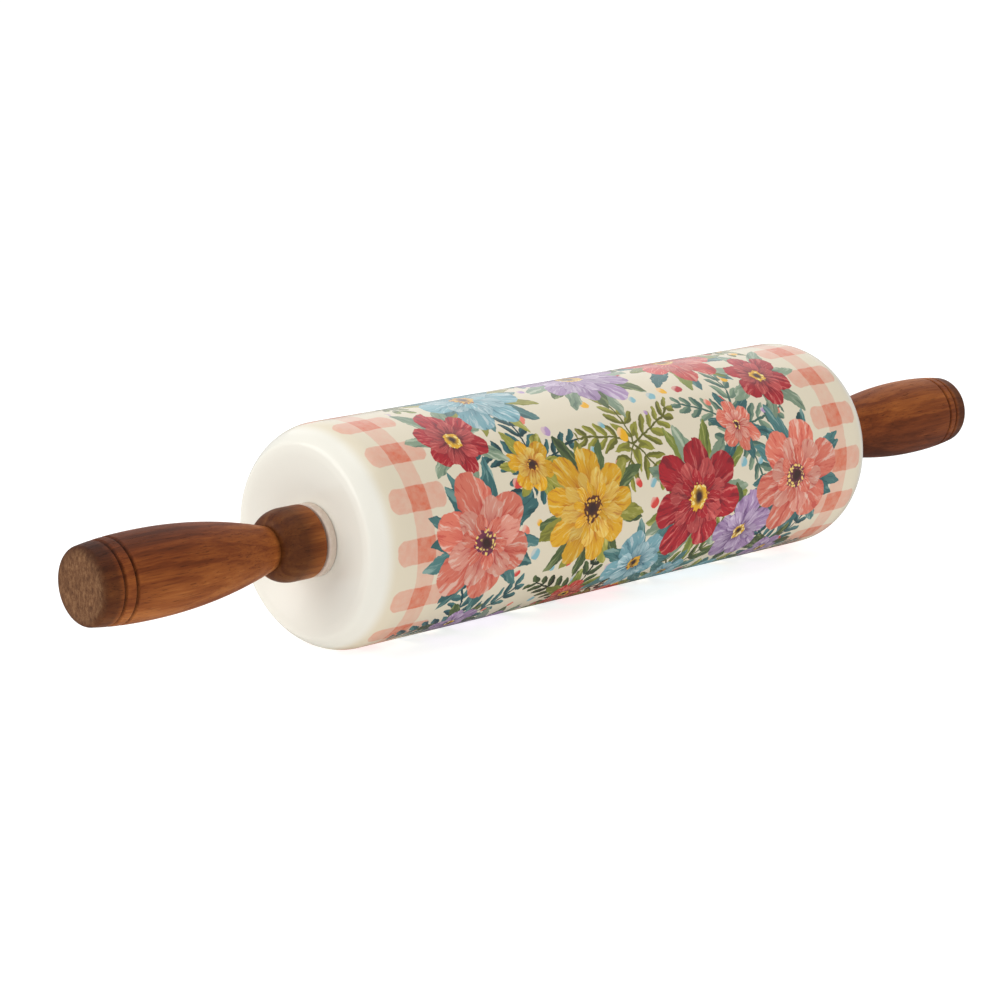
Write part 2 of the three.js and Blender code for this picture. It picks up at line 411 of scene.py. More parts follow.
class Graph:
    """Adds nodes to a tree and feeds their sockets with values or with other sockets."""

    def __init__(self, tree):
        self.tree = tree

    def node(self, kind, **settings):
        node = self.tree.nodes.new(kind)
        for name, value in settings.items():
            setattr(node, name, value)
        return node

    def feed(self, socket, value):
        if isinstance(value, bpy.types.NodeSocket):
            self.tree.links.new(value, socket)
        else:
            socket.default_value = value

    def made(self, node, *values):
        for socket, value in zip(node.inputs, values):
            self.feed(socket, value)
        return node.outputs[0]

    def math(self, operation, *values):
        return self.made(self.node("ShaderNodeMath", operation=operation), *values)

    def add(self, first, second):
        return self.math("ADD", first, second)

    def minus(self, first, second):
        return self.math("SUBTRACT", first, second)

    def times(self, first, *others):
        for other in others:
            first = self.math("MULTIPLY", first, other)
        return first

    def over(self, first, second):
        return self.math("DIVIDE", first, second)

    def size(self, value):
        return self.math("ABSOLUTE", value)

    def part(self, value):
        return self.math("FRACT", value)

    def remainder(self, value, count):
        return self.math("FLOORED_MODULO", value, count)

    def vector(self, operation, *values):
        return self.made(self.node("ShaderNodeVectorMath", operation=operation), *values)

    def length(self, vector):
        node = self.node("ShaderNodeVectorMath", operation="LENGTH")
        self.feed(node.inputs[0], vector)
        return node.outputs["Value"]

    def scaled(self, vector, factor):
        node = self.node("ShaderNodeVectorMath", operation="SCALE")
        self.feed(node.inputs[0], vector)
        self.feed(node.inputs["Scale"], factor)
        return node.outputs[0]

    def split(self, vector):
        node = self.node("ShaderNodeSeparateXYZ")
        self.feed(node.inputs[0], vector)
        return node.outputs[0], node.outputs[1], node.outputs[2]

    def join(self, x, y, z=0.0):
        return self.made(self.node("ShaderNodeCombineXYZ"), x, y, z)

    def noise(self, vector, scale=1.0, detail=2.0, roughness=0.5, output=0):
        node = self.node("ShaderNodeTexNoise", noise_dimensions="3D")
        self.feed(node.inputs["Vector"], vector)
        self.feed(node.inputs["Scale"], scale)
        self.feed(node.inputs["Detail"], detail)
        self.feed(node.inputs["Roughness"], roughness)
        return node.outputs[output]

    def grain(self, place, stretch, detail=3.0, roughness=0.55):
        """Noise that is drawn out by a different amount along each axis."""
        return self.noise(self.vector("MULTIPLY", place, stretch), 1.0, detail, roughness)

    def chances(self, number):
        """Three random numbers that belong to a whole number."""
        node = self.node("ShaderNodeTexWhiteNoise", noise_dimensions="1D")
        self.feed(node.inputs["W"], number)
        return self.split(node.outputs["Color"])

    def smooth(self, value, low, high):
        """0 at low, 1 at high, and smooth between them."""
        node = self.node("ShaderNodeMapRange", interpolation_type="SMOOTHSTEP")
        return self.made(node, value, low, high, 0.0, 1.0)

    def span(self, value, low, high, to_low, to_high):
        return self.made(self.node("ShaderNodeMapRange"), value, low, high, to_low, to_high)

    def mix(self, factor, first, second):
        node = self.node("ShaderNodeMix", data_type="RGBA", blend_type="MIX")
        self.feed(node.inputs[0], factor)
        self.feed(node.inputs[6], first)
        self.feed(node.inputs[7], second)
        return node.outputs[2]

    def ramp(self, value, stops, interpolation="LINEAR"):
        node = self.node("ShaderNodeValToRGB")
        ramp = node.color_ramp
        ramp.interpolation = interpolation
        while len(ramp.elements) < len(stops):
            ramp.elements.new(1.0)
        for element, (place, colour) in zip(ramp.elements, stops):
            element.position = place
            element.color = colour
        self.feed(node.inputs[0], value)
        return node.outputs[0]

    def pick(self, share, colours):
        """One colour of a list, by the share of the way along it."""
        stops = [(i / len(colours), colour) for i, colour in enumerate(colours)]
        return self.ramp(share, stops, "CONSTANT")

    def pick_colour(self, share, entries, name):
        return self.pick(share, [srgb(*entry[name]) for entry in entries])

    def pick_number(self, share, entries, name):
        top = max(entry[name] for entry in entries)
        greys = [(entry[name] / top,) * 3 + (1,) for entry in entries]
        return self.times(self.pick(share, greys), top)

    def bump(self, height, strength, distance):
        node = self.node("ShaderNodeBump")
        node.inputs["Strength"].default_value = strength
        node.inputs["Distance"].default_value = distance
        self.feed(node.inputs["Height"], height)
        return node.outputs[0]

    def group(self, tree, **values):
        node = self.node("ShaderNodeGroup", node_tree=tree)
        for name, value in values.items():
            self.feed(node.inputs[name], value)
        return node.outputs


SOCKETS = {
    "number": "NodeSocketFloat",
    "place": "NodeSocketVector",
    "colour": "NodeSocketColor",
    "shape": "NodeSocketGeometry",
    "material": "NodeSocketMaterial",
}


def new_tree(name, kind, inputs, outputs):
    """An empty node tree with named sockets, with its graph, its inputs and its outputs."""
    tree = bpy.data.node_groups.new(name, kind)
    for label, socket in inputs.items():
        tree.interface.new_socket(label, in_out="INPUT", socket_type=SOCKETS[socket])
    for label, socket in outputs.items():
        tree.interface.new_socket(label, in_out="OUTPUT", socket_type=SOCKETS[socket])
    given = tree.nodes.new("NodeGroupInput").outputs
    result = tree.nodes.new("NodeGroupOutput").inputs
    return tree, Graph(tree), given, result


# Screw threads and ribs

def ridge_tree():
    """Cuts ridges into a turned surface of one radius: a screw thread with a lead of 1, rings with 0."""
    numbers = ("Crest", "Pitch", "Depth", "Start", "Lead", "Crown", "Axis Height")
    inputs = {"Shape": "shape", **{name: "number" for name in numbers}, "Material": "material"}
    tree, g, given, result = new_tree("turned_ridges", "GeometryNodeTree", inputs, {"Shape": "shape"})
    x, y, z = g.split(g.node("GeometryNodeInputPosition").outputs[0])
    up = g.minus(z, given["Axis Height"])
    radius = g.math("SQRT", g.add(g.times(y, y), g.times(up, up)))
    turns = g.over(g.math("ARCTAN2", g.times(y, -1.0), up), 2 * math.pi)
    steps = g.over(g.minus(x, given["Start"]), given["Pitch"])
    phase = g.part(g.minus(steps, g.times(turns, given["Lead"])))
    below = g.size(g.minus(g.times(phase, 2.0), 1.0))
    same_radius = 0.01 * MM
    on_crest = g.math("COMPARE", radius, given["Crest"], same_radius)
    cut = g.times(given["Depth"], g.math("POWER", below, given["Crown"]), on_crest)
    least_radius = 0.1 * MM
    inward = g.times(g.over(cut, g.math("MAXIMUM", radius, least_radius)), -1.0)
    move = g.node("GeometryNodeSetPosition")
    g.feed(move.inputs["Geometry"], given["Shape"])
    g.feed(move.inputs["Offset"], g.join(0.0, g.times(y, inward), g.times(up, inward)))
    realize = g.node("GeometryNodeRealizeInstances")
    g.feed(realize.inputs[0], move.outputs[0])
    dress_node = g.node("GeometryNodeSetMaterial")
    g.feed(dress_node.inputs["Geometry"], realize.outputs[0])
    g.feed(dress_node.inputs["Material"], given["Material"])
    g.feed(result["Shape"], dress_node.outputs[0])
    return tree


def cut_ridges(piece, tree, material, sizes):
    """Runs the ridge tree on a piece and keeps its result as the piece's own mesh."""
    modifier = piece.modifiers.new("ridges", "NODES")
    modifier.node_group = tree
    wanted = {"Axis Height": AXIS_HEIGHT, "Material": material, **sizes}
    for socket in tree.interface.items_tree:
        if socket.in_out == "INPUT" and socket.name in wanted:
            modifier[socket.identifier] = wanted[socket.name]
    evaluated = piece.evaluated_get(bpy.context.evaluated_depsgraph_get())
    mesh = bpy.data.meshes.new_from_object(evaluated)
    piece.modifiers.remove(modifier)
    piece.data = mesh
    mesh.shade_smooth()
    mesh.set_sharp_from_angle(angle=SHARP_ANGLE)


# The flower print

def petal_ring_group():
    """A ring of painted petals or pointed leaves, by the distance from its middle and the turns round it."""
    numbers = ("Distance", "Turns", "Radius", "Petals", "Notch", "Roundness", "Seed")
    inputs = {name: "number" for name in numbers}
    inputs.update({name: "colour" for name in ("Throat", "Tip", "Stroke")})
    outputs = {"Colour": "colour", "Mask": "number"}
    tree, g, given, result = new_tree("petal_ring", "ShaderNodeTree", inputs, outputs)
    reach = g.over(given["Distance"], given["Radius"])
    count = g.times(given["Turns"], given["Petals"])
    petal = g.math("FLOOR", count)
    across = g.minus(g.minus(count, petal), 0.5)
    number = g.add(g.remainder(petal, given["Petals"]), given["Seed"])
    length_chance, tone_chance, lean_chance = g.chances(number)
    leaning = g.add(across, g.times(g.minus(lean_chance, 0.5), 0.12))
    outward = g.size(g.times(leaning, 2.0))
    petal_length = g.span(length_chance, 0.0, 1.0, 0.82, 1.0)
    fall = g.times(given["Notch"], g.math("POWER", outward, given["Roundness"]))
    edge = g.times(petal_length, g.minus(1.0, fall))
    mask = g.smooth(g.times(g.minus(edge, reach), given["Radius"]), *PAINT_EDGE)
    # Brush strokes fan out from the throat
    stroke_across = g.add(g.times(across, 8.0), g.times(number, 5.3))
    strokes = g.noise(g.join(stroke_across, g.times(reach, 1.6), given["Seed"]), 1.0, 3.0, 0.65)
    ripe = g.over(reach, edge)
    tip_share = g.smooth(g.add(ripe, g.times(strokes, 0.5)), 0.35, 1.05)
    colour = g.mix(tip_share, given["Throat"], given["Tip"])
    light = g.times(g.smooth(strokes, 0.52, 0.64), g.smooth(ripe, 0.3, 0.75), 0.75)
    colour = g.mix(light, colour, given["Stroke"])
    colour = g.mix(g.times(g.smooth(strokes, 0.46, 0.36), 0.6), colour, given["Throat"])
    colour = g.mix(g.times(g.smooth(outward, 0.72, 1.0), 0.6), colour, given["Throat"])
    g.feed(result["Colour"], g.scaled(colour, g.span(tone_chance, 0.0, 1.0, 0.74, 0.98)))
    g.feed(result["Mask"], mask)
    return tree


def flower_eye_group():
    """The dotted middle of a flower."""
    inputs = {name: "number" for name in ("Distance", "Turns", "Radius", "Seed")}
    inputs.update({name: "colour" for name in ("Core", "Dots")})
    outputs = {"Colour": "colour", "Mask": "number"}
    tree, g, given, result = new_tree("flower_eye", "ShaderNodeTree", inputs, outputs)
    reach = g.over(given["Distance"], given["Radius"])
    angle = g.times(given["Turns"], 2 * math.pi)
    x = g.times(given["Distance"], g.math("COSINE", angle))
    y = g.times(given["Distance"], g.math("SINE", angle))
    own_place = g.join(x, y, given["Seed"])
    edge = g.span(g.noise(own_place, 0.8, 2.0), 0.3, 0.7, 0.78, 1.12)
    mask = g.smooth(g.times(g.minus(edge, reach), given["Radius"]), *PAINT_EDGE)
    cells = g.node("ShaderNodeTexVoronoi", voronoi_dimensions="3D", feature="F1")
    g.feed(cells.inputs["Vector"], own_place)
    cells.inputs["Scale"].default_value = 0.7
    dots = g.times(g.smooth(cells.outputs["Distance"], 0.5, 0.35), g.smooth(reach, 0.4, 0.65))
    core = g.mix(g.smooth(reach, 0.75, 0.2), given["Core"], EYE_SHADE)
    g.feed(result["Colour"], g.mix(dots, core, given["Dots"]))
    g.feed(result["Mask"], mask)
    return tree


def fern_spray_group():
    """Sprigs that fan out from a middle, each with pairs of leaves that grow shorter towards its tip."""
    inputs = {name: "number" for name in ("Distance", "Turns", "Sprigs", "Length", "Leaf", "Pitch", "Seed")}
    inputs.update({name: "colour" for name in ("Dark", "Light")})
    outputs = {"Colour": "colour", "Mask": "number"}
    tree, g, given, result = new_tree("fern_spray", "ShaderNodeTree", inputs, outputs)
    share = g.minus(g.part(g.times(given["Turns"], given["Sprigs"])), 0.5)
    angle = g.times(g.over(share, given["Sprigs"]), 2 * math.pi)
    x = g.times(given["Distance"], g.math("COSINE", angle))
    y = g.times(given["Distance"], g.math("SINE", angle))
    away = g.size(g.minus(y, g.times(x, x, 0.006)))
    swept = g.over(g.minus(x, g.times(away, 0.8)), given["Pitch"])
    step = g.math("FLOOR", swept)
    off = g.times(g.minus(g.minus(swept, step), 0.5), given["Pitch"])
    along_stem = g.over(g.times(g.add(step, 0.5), given["Pitch"]), given["Length"])
    leaf_length = g.times(given["Leaf"], g.span(along_stem, 0.0, 1.0, 1.0, 0.45))
    along = g.over(away, leaf_length)
    belly = g.math("MAXIMUM", g.times(along, 4.0, g.minus(1.0, along)), 0.0)
    half = g.times(g.math("POWER", belly, 0.7), given["Pitch"], 0.4)
    leaf = g.smooth(g.minus(half, g.size(off)), -0.1, 0.2)
    on_stem = g.times(g.smooth(along_stem, 0.0, 0.01), g.smooth(along_stem, 1.0, 0.99))
    leaves = g.times(leaf, on_stem, g.smooth(along, 1.0, 0.97))
    stem_run = g.smooth(x, given["Length"], g.minus(given["Length"], 1.0))
    stem = g.times(g.smooth(away, 0.55, 0.3), stem_run)
    chance, _, _ = g.chances(g.add(step, given["Seed"]))
    tone = g.times(g.add(g.smooth(off, -0.2, 0.4), chance), 0.5)
    colour = g.mix(tone, given["Dark"], given["Light"])
    g.feed(result["Colour"], g.mix(stem, colour, given["Dark"]))
    g.feed(result["Mask"], g.math("MAXIMUM", leaves, stem))
    return tree


def berry_group():
    """Small painted berries strewn over a square grid, some of its squares left empty."""
    inputs = {"Across": "number", "Along": "number", "Step": "number", "Limit": "number"}
    outputs = {"Colour": "colour", "Mask": "number"}
    tree, g, given, result = new_tree("berry_scatter", "ShaderNodeTree", inputs, outputs)
    a = g.over(given["Across"], given["Step"])
    b = g.over(given["Along"], given["Step"])
    column = g.math("FLOOR", a)
    row = g.math("FLOOR", b)
    number = g.add(g.remainder(column, float(BERRY_COLUMNS)), g.times(row, 41.0))
    first, second, third = g.chances(number)
    local_a = g.minus(g.minus(a, column), g.span(first, 0.0, 1.0, 0.32, 0.68))
    local_b = g.minus(g.minus(b, row), g.span(second, 0.0, 1.0, 0.32, 0.68))
    away = g.times(g.length(g.join(local_a, local_b)), given["Step"])
    filled_share = 0.35
    radius = g.span(third, 0.0, filled_share, 1.2, 2.3)
    filled = g.math("LESS_THAN", third, filled_share)
    inside = g.math("LESS_THAN", g.size(given["Along"]), given["Limit"])
    mask = g.times(g.smooth(g.minus(radius, away), *PAINT_EDGE), filled, inside)
    colour = g.pick_colour(first, BLOSSOMS, "tip")
    shine = g.smooth(g.add(local_a, local_b), 0.0, -0.2)
    g.feed(result["Colour"], g.mix(g.times(shine, 0.5), colour, BERRY_SHINE))
    g.feed(result["Mask"], mask)
    return tree


class Cell:
    """The nearest place of a half-drop repeat: the distance from it, the turns round it and its numbers."""

    def __init__(self, g, u, v, shift_u, shift_v, seed, share):
        self.g = g
        a = g.over(g.minus(u, shift_u), COLUMN_STEP)
        column = g.math("FLOOR", g.add(a, 0.5))
        drop = g.times(g.remainder(column, 2.0), 0.5)
        b = g.minus(g.over(g.minus(v, shift_v), ROW_STEP), drop)
        row = g.math("FLOOR", g.add(b, 0.5))
        own_column = g.remainder(column, float(FLOWER_COLUMNS))
        self.number = g.add(g.add(own_column, g.times(row, 17.0)), seed)
        first, self.chance, third = g.chances(self.number)
        off_u = g.times(g.minus(first, 0.5), CELL_JITTER)
        off_v = g.times(g.minus(self.chance, 0.5), CELL_JITTER)
        local_u = g.minus(g.times(g.minus(a, column), COLUMN_STEP), off_u)
        local_v = g.minus(g.times(g.minus(b, row), ROW_STEP), off_v)
        self.distance = g.length(g.join(local_u, local_v))
        self.turns = g.add(g.over(g.math("ARCTAN2", local_v, local_u), 2 * math.pi), third)
        self.kind_sum = g.add(g.add(own_column, g.times(row, 2.0)), seed)
        middle_v = g.add(g.times(g.add(row, drop), ROW_STEP), shift_v)
        self.inside = g.math("LESS_THAN", g.size(middle_v), PRINT_LIMIT)
        self.shown = g.times(self.inside, g.math("LESS_THAN", third, share))

    def kind(self, step):
        """Share of the way along a list of colours, for the kind some steps on from the cell's own."""
        count = len(BLOSSOMS)
        whole = self.g.remainder(self.g.add(self.kind_sum, float(step)), float(count))
        return self.g.over(self.g.add(whole, 0.5), count)

    def paint(self, under, layer, shown):
        """Lays a painted layer over what is under it."""
        return self.g.mix(self.g.times(layer["Mask"], shown), under, layer["Colour"])

    def blossom(self, under, groups, radius, step, petals_name, rings):
        """A flower of rings of petals, each smaller and turned from the one below, and a dotted middle."""
        g = self.g
        kind = self.kind(step)
        names = ("throat", "tip", "stroke", "core", "dots")
        colours = {name: g.pick_colour(kind, BLOSSOMS, name) for name in names}
        petals = g.pick_number(kind, BLOSSOMS, petals_name)
        size = g.times(g.span(self.chance, 0.0, 1.0, 0.9, 1.06), radius)
        for number in range(rings):
            layer = g.group(
                groups["petals"],
                Distance=self.distance,
                Turns=g.add(self.turns, g.over(0.45 * number + 0.1, petals)),
                Radius=g.times(size, 0.68**number),
                Petals=petals,
                Notch=0.34 + 0.06 * number,
                Roundness=2.4 - 0.3 * number,
                Seed=g.add(self.number, 31.0 * number + 7.0),
                Throat=colours["throat"],
                Tip=g.mix(0.3 * (number % 2), colours["tip"], colours["stroke"]),
                Stroke=colours["stroke"],
            )
            under = self.paint(under, layer, self.shown)
        eye = g.group(
            groups["eye"],
            Distance=self.distance,
            Turns=self.turns,
            Radius=g.times(size, 0.2),
            Seed=g.add(self.number, 3.0),
            Core=colours["core"],
            Dots=colours["dots"],
        )
        return self.paint(under, eye, self.shown)

    def leaf_rosette(self, under, groups, radius, leaves, step):
        """Pointed leaves that stand out from under a flower."""
        g = self.g
        kind = self.kind(step)
        layer = g.group(
            groups["petals"],
            Distance=self.distance,
            Turns=g.add(self.turns, 0.07 + 0.05 * step),
            Radius=radius,
            Petals=leaves,
            Notch=0.95,
            Roundness=1.25,
            Seed=g.add(self.number, 77.0 + step),
            Throat=g.pick_colour(kind, LEAVES, "throat"),
            Tip=g.pick_colour(kind, LEAVES, "tip"),
            Stroke=g.pick_colour(kind, LEAVES, "stroke"),
        )
        return self.paint(under, layer, self.shown)

    def fern_spray(self, under, groups, sprigs, length, leaf, pitch, step):
        """Leafy sprigs that fan out round the place."""
        g = self.g
        kind = self.kind(step)
        layer = g.group(
            groups["fern"],
            Distance=self.distance,
            Turns=g.add(self.turns, 0.03),
            Sprigs=sprigs,
            Length=length,
            Leaf=leaf,
            Pitch=pitch,
            Seed=g.add(self.number, 11.0),
            Dark=g.pick_colour(kind, LEAVES, "throat"),
            Light=g.pick_colour(kind, LEAVES, "tip"),
        )
        return self.paint(under, layer, self.inside)


def check_border(g, ground, place, position):
    """Gingham checks round both ends of the barrel, with round ends to the brush strokes along the pin."""
    u, v, _ = g.split(place)
    inside = g.minus(CHECK_START, g.size(v))
    soft = 0.2
    wave = g.math("SINE", g.times(g.minus(u, CHECK_TURN), math.pi / CHECK_HIGH))
    cross = g.smooth(wave, -0.08, 0.08)
    ring_in = g.smooth(inside, CHECK_WIDE - soft, CHECK_WIDE + soft)
    ring_out = g.smooth(inside, 2 * CHECK_WIDE + soft, 2 * CHECK_WIDE - soft)
    plain = g.mix(cross, ground, CHECK_LIGHT)
    striped = g.mix(cross, CHECK_MIDDLE, CHECK_DARK)
    flat = g.math("MAXIMUM", g.minus(1.0, wave), 0.0)
    rounding = g.times(flat, flat, CHECK_END_ROUND)
    stroke = CHECK_COLUMNS * CHECK_WIDE
    start = g.smooth(g.minus(inside, rounding), -soft, soft)
    end = g.smooth(g.add(inside, rounding), stroke + soft, stroke - soft)
    wash = g.span(g.noise(position, 0.35, 3.0, 0.6), 0.3, 0.7, 0.7, 1.0)
    ring = g.times(ring_in, ring_out)
    shown = g.math("MAXIMUM", g.times(start, end), ring)
    return g.mix(g.times(shown, wash), ground, g.mix(ring, plain, striped))


def new_material(name):
    """A material with its graph, its shader and the place on the object in millimetres."""
    material = bpy.data.materials.new(name)
    material.use_nodes = True
    g = Graph(material.node_tree)
    shader = material.node_tree.nodes["Principled BSDF"]
    middle = (0.0, 0.0, -AXIS_HEIGHT)
    position = g.vector("ADD", g.node("ShaderNodeTexCoord").outputs["Object"], middle)
    return material, g, shader, g.scaled(position, 1 / MM)


def ceramic_material(groups):
    """Clear glaze over cream clay, with the check border and the flower print under it."""
    material, g, shader, position = new_material("printed_glaze")
    surface = g.node("ShaderNodeUVMap", uv_map="surface_mm").outputs[0]
    wobble = g.vector("SUBTRACT", g.noise(position, 0.14, 3.0, 0.6, output=1), (0.5, 0.5, 0.5))
    place = g.vector("ADD", surface, g.scaled(wobble, 4.0))
    check_place = g.vector("ADD", surface, g.scaled(wobble, 1.6))
    _, along, _ = g.split(surface)
    printed = g.smooth(g.size(along), CHECK_START + PRINT_EDGE, CHECK_START)
    colour = g.mix(printed, CREAM, PRINT_GROUND)
    colour = check_border(g, colour, check_place, position)
    u, v, _ = g.split(place)
    side_shift = 0.38 * COLUMN_STEP
    spray = Cell(g, u, v, shift_u=-side_shift, shift_v=0.5 * ROW_STEP, seed=5.0, share=0.75)
    colour = spray.fern_spray(colour, groups, sprigs=5.0, length=27.0, leaf=8.0, pitch=4.8, step=3)
    berries = g.group(groups["berries"], Across=u, Along=v, Step=BERRY_STEP, Limit=PRINT_LIMIT + 8.0)
    colour = g.mix(berries["Mask"], colour, berries["Colour"])
    main = Cell(g, u, v, shift_u=0.0, shift_v=0.0, seed=1.0, share=1.0)
    colour = main.leaf_rosette(colour, groups, radius=32.0, leaves=9.0, step=2)
    colour = main.leaf_rosette(colour, groups, radius=30.0, leaves=7.0, step=1)
    colour = spray.leaf_rosette(colour, groups, radius=17.0, leaves=6.0, step=5)
    colour = spray.blossom(colour, groups, radius=11.0, step=4, petals_name="few", rings=2)
    side = Cell(g, u, v, shift_u=side_shift, shift_v=0.5 * ROW_STEP, seed=3.0, share=0.7)
    colour = side.leaf_rosette(colour, groups, radius=24.0, leaves=7.0, step=4)
    colour = side.blossom(colour, groups, radius=17.0, step=3, petals_name="few", rings=2)
    colour = main.blossom(colour, groups, radius=25.0, step=0, petals_name="petals", rings=3)
    g.feed(shader.inputs["Base Color"], colour)
    shader.inputs["Roughness"].default_value = 0.25
    shader.inputs["Specular IOR Level"].default_value = 0.35
    shader.inputs["Coat Weight"].default_value = 0.25
    shader.inputs["Coat Roughness"].default_value = 0.1
    g.feed(shader.inputs["Normal"], g.bump(g.noise(position, 0.05, 2.0), 0.2, 0.3 * MM))
    return material


def wood_grain_group():
    """Growth rings, fibres and pores of wood whose grain runs along X, at a place in millimetres, with
    painted light added to the tone.
    """
    inputs = {"Place": "place", "Ring": "number"}
    outputs = {"Tone": "number", "Pores": "number"}
    tree, g, given, result = new_tree("wood_grain", "ShaderNodeTree", inputs, outputs)
    place = given["Place"]
    x, y, z = g.split(place)
    wander = g.grain(place, (0.014, 0.06, 0.06))
    from_pith = g.length(g.join(0.0, g.minus(y, PITH_Y), g.minus(z, PITH_Z)))
    ring = g.part(g.over(g.add(from_pith, g.times(wander, RING_WANDER)), given["Ring"]))
    late = g.times(g.smooth(ring, 0.2, 0.9), g.smooth(ring, 1.0, 0.9))
    broad = g.grain(place, (0.018, 0.09, 0.09), 3.0, 0.6)
    streak = g.grain(place, (0.02, 0.5, 0.5), 3.0, 0.6)
    fibre = g.grain(place, (0.07, 1.8, 1.8), 4.0, 0.7)
    tone = g.add(g.times(broad, 0.55), g.add(g.times(streak, 0.3), g.times(fibre, 0.3)))
    # Painted light: the handle at high x is the darker one, with its paler side on top and not below, and
    # the handle at low x is paler below
    light_by_side = g.times(x, g.minus(z, PAINTED_LIGHT_LEVEL), PAINTED_LIGHT_SIDE)
    # Painted light: each handle grows paler towards high x, a painted shadow of the barrel on the handle at
    # high x and a darker tone towards the butt of the one at low x
    from_middle = g.minus(x, g.times(g.math("SIGN", x), GRIP_MIDDLE))
    painted_light = g.add(light_by_side, g.times(from_middle, PAINTED_LIGHT_ALONG))
    g.feed(result["Tone"], g.add(g.minus(tone, g.times(late, 0.08)), painted_light))
    g.feed(result["Pores"], g.smooth(g.grain(place, (0.16, 3.2, 3.2), 2.0, 0.5), 0.6, 0.7))
    return tree


def wood_material(groups):
    """Oiled dark wood, with its own end grain on the butts, and painted shade and a darker stain in its
    hollows and at the butt's edge.
    """
    material, g, shader, position = new_material("oiled_dark_wood")
    grain = g.group(groups["grain"], Place=position, Ring=RING_WIDTH)
    end = g.node("ShaderNodeAttribute", attribute_name="end_grain").outputs["Fac"]
    shade_and_stain = g.node("ShaderNodeAttribute", attribute_name="shade_and_stain").outputs["Fac"]
    side = g.ramp(grain["Tone"], [(place, srgb(*colour)) for place, colour in WOOD_TONES])
    flecks = g.grain(position, (0.7, 0.95, 0.5), 4.0, 0.7)
    butt = g.ramp(flecks, [(place, srgb(*colour)) for place, colour in BUTT_TONES])
    colour = g.mix(end, side, butt)
    colour = g.mix(g.times(grain["Pores"], 0.55), colour, WOOD_PORE)
    # Painted shade on the collar and in the neck, darker grooves, and a darker stain with painted shade at
    # the butt's edge
    colour = g.mix(g.times(shade_and_stain, 0.65), colour, WOOD_SHADE_AND_STAIN)
    g.feed(shader.inputs["Base Color"], colour)
    polish = g.add(g.span(grain["Tone"], 0.3, 0.8, 0.56, 0.46), g.times(grain["Pores"], 0.2))
    g.feed(shader.inputs["Roughness"], g.add(polish, g.times(end, 0.2)))
    shader.inputs["Specular IOR Level"].default_value = 0.14
    height = g.minus(g.times(grain["Tone"], 0.3), grain["Pores"])
    g.feed(shader.inputs["Normal"], g.bump(height, 0.3, 0.15 * MM))
    return material


def mottled_material(name, colour, other, roughness, metallic, stretch):
    """A finish of two close colours, mottled evenly or drawn out along a direction."""
    material, g, shader, position = new_material(name)
    mottle = g.grain(position, stretch, 4.0, 0.6)
    g.feed(shader.inputs["Base Color"], g.mix(g.smooth(mottle, 0.3, 0.7), srgb(*colour), srgb(*other)))
    g.feed(shader.inputs["Roughness"], g.span(mottle, 0.3, 0.7, roughness - 0.06, roughness + 0.08))
    shader.inputs["Metallic"].default_value = metallic
    g.feed(shader.inputs["Normal"], g.bump(mottle, 0.1, 0.1 * MM))
    return material


shader_groups = {
    "petals": petal_ring_group(),
    "eye": flower_eye_group(),
    "fern": fern_spray_group(),
    "berries": berry_group(),
    "grain": wood_grain_group(),
}
ridges = ridge_tree()
glaze = ceramic_material(shader_groups)
wood = wood_material(shader_groups)
# Painted shade: the nylon's colours are set darker to stand in for the collar's shadow on the bush's flange
nylon = mottled_material(
    "moulded_nylon", (223, 207, 192), (213, 195, 179), roughness=0.42, metallic=0.0, stretch=(0.5, 0.5, 0.5)
)
silicone = mottled_material(
    "soft_silicone", (214, 208, 198), (200, 193, 183), roughness=0.65, metallic=0.0, stretch=(1.2, 1.2, 1.2)
)
steel = mottled_material(
    "drawn_steel", (186, 188, 192), (168, 170, 175), roughness=0.28, metallic=1.0, stretch=(0.08, 4.0, 4.0)
)
brass = mottled_material(
    "machined_brass", (206, 170, 92), (186, 148, 70), roughness=0.3, metallic=1.0, stretch=(6.0, 0.3, 0.3)
)


# Pieces

def dress(piece, node, body, material):
    """Gives a finished piece its material, and ties it to the frame in place of a CAD node."""
    piece.data.materials.clear()
    piece.data.materials.append(material)
    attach(piece, body)
    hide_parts(node)


def limited(value):
    """The value, held between 0 and 1."""
    return min(1.0, max(0.0, value))


def end_grain_share(x, radius):
    """1 on the butt, and 0 on the side of the grip."""
    return limited((x - (BUTT - BUTT_ROUND)) / BUTT_ROUND) ** 2


def shade_and_stain_share(x, radius):
    """1 at the bottom of a groove, and part of that on the collar, in the neck and at the butt's edge:
    painted shade on the collar and in the neck, and a darker stain with painted shade at the butt's edge.
    """
    if radius < SKIN_RADIUS:
        return 0.0
    # Painted shade in the neck's crease and over the collar
    crease = limited(1 - abs(x - NECK) / NECK_CREASE)
    from_neck = (NECK - x) / COLLAR_ROUND
    round_shade = limited(COLLAR_SHADE_FALL * (COLLAR_SHADE_REACH - from_neck))
    collar = max(COLLAR_SHADE, round_shade) if from_neck > 0 else 0.0
    # A darker stain with painted shade at the butt's edge
    past_grooves = BUTT_SHADE_AND_STAIN_RISE * (1 - (BUTT - x) / GROOVES_FROM_BUTT[1])
    off_flat = (radius - BUTT_RADIUS) / BUTT_ROUND + 1
    edge = BUTT_SHADE_AND_STAIN * limited(past_grooves) * limited(off_flat)
    return max(crease, collar, edge, groove_depth(x - NECK) / GROOVE_DEPTH)


